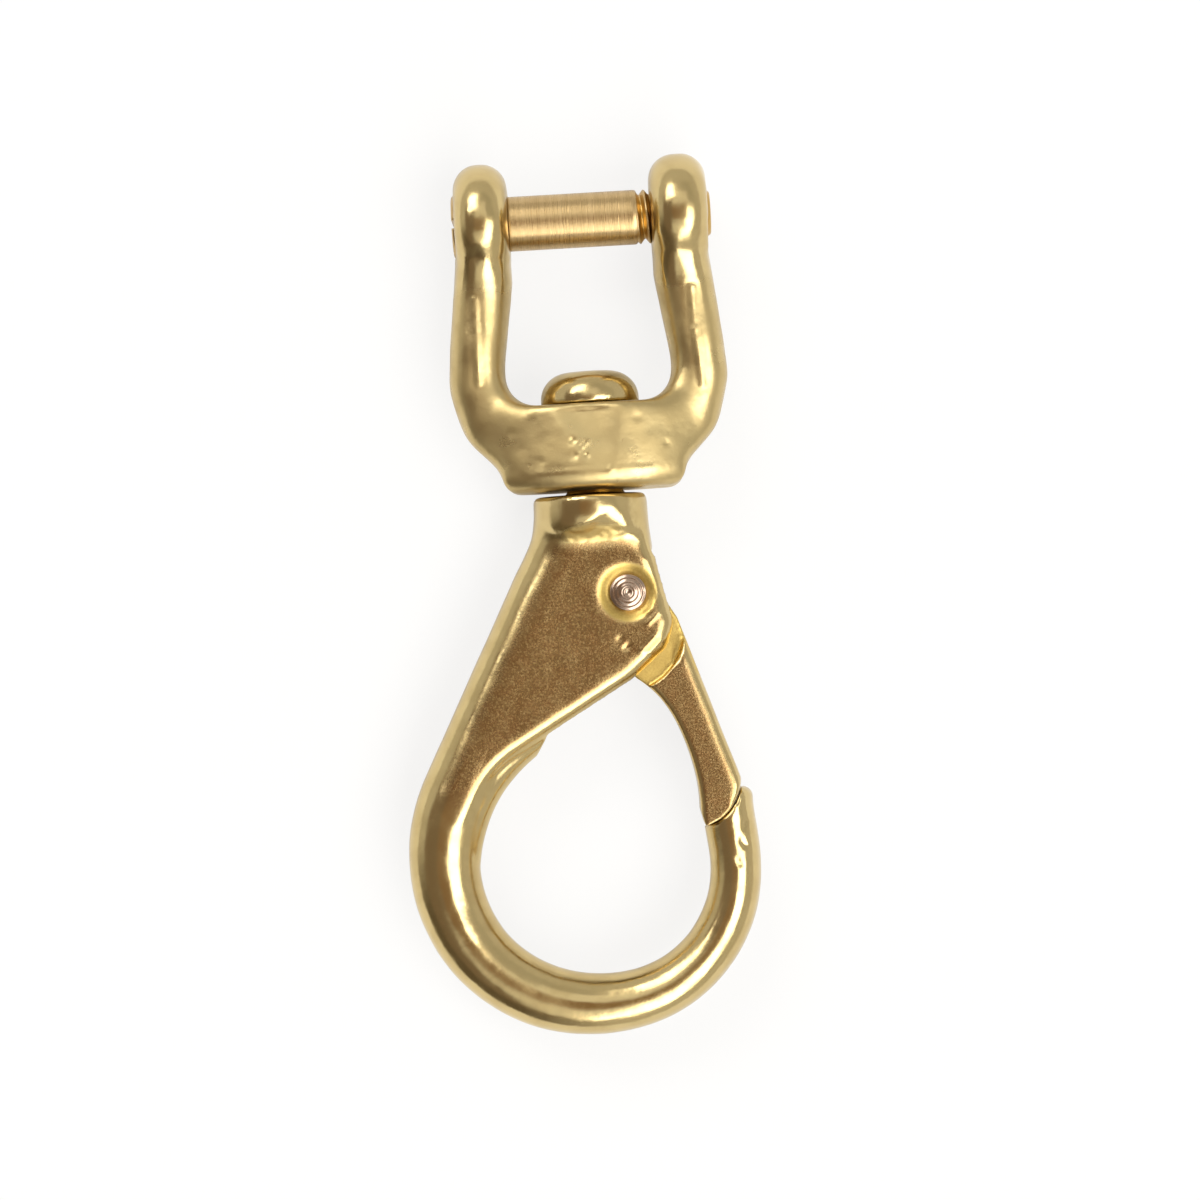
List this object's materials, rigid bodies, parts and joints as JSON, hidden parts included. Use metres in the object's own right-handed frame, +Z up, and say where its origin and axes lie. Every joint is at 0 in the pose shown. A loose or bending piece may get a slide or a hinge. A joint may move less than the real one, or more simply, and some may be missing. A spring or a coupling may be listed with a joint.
{
  "type": "swivel shackle snap hook",
  "caption": "Cast swivel snap hook: round bar loop closed by a sprung gate on a rivet, turning on a domed stem in a shackle with a removable screw pin.",
  "frame": {"origin": "where the shackle pin's axis crosses the swivel axis", "axes": "+X along the shackle pin towards its threaded end, +Y along the swivel axis from the hook to the shackle, +Z up out of the flat front face; the part lies on its side"},
  "size_m": [0.051, 0.1266, 0.0184],
  "materials": {
    "cast_brass": "tumbled sand casting, satin to bright on the rims",
    "turned_brass": "turned, fine tool marks round the shank",
    "rivet_bronze": "turned end, satin",
    "spring_wire": "drawn wire"
  },
  "bodies": {
    "hook": {"hook_body": "cast_brass", "gate_rivet": "rivet_bronze", "gate_spring": "spring_wire"},
    "gate": {"gate": "cast_brass"},
    "shackle": {"shackle": "cast_brass"},
    "pin": {"shackle_pin": "turned_brass"}
  },
  "joints": [
    {"name": "swivel", "type": "hinge", "parent": "hook", "child": "shackle", "pos_m": [0, 0, 0], "axis": [0, 1, 0], "continuous": true},
    {"name": "gate_pivot", "type": "hinge", "parent": "hook", "child": "gate", "pos_m": [0.00387, -0.0542, 0], "axis": [0, 0, -1], "range_deg": [0, 17], "stiffness_Nm_per_rad": 0.12, "springref_deg": -20.05, "deforming": ["gate_spring"]},
    {"name": "pin_unscrew", "type": "slide", "parent": "shackle", "child": "pin", "axis": [-1, 0, 0], "range_m": [0, 0.05]}
  ]
}
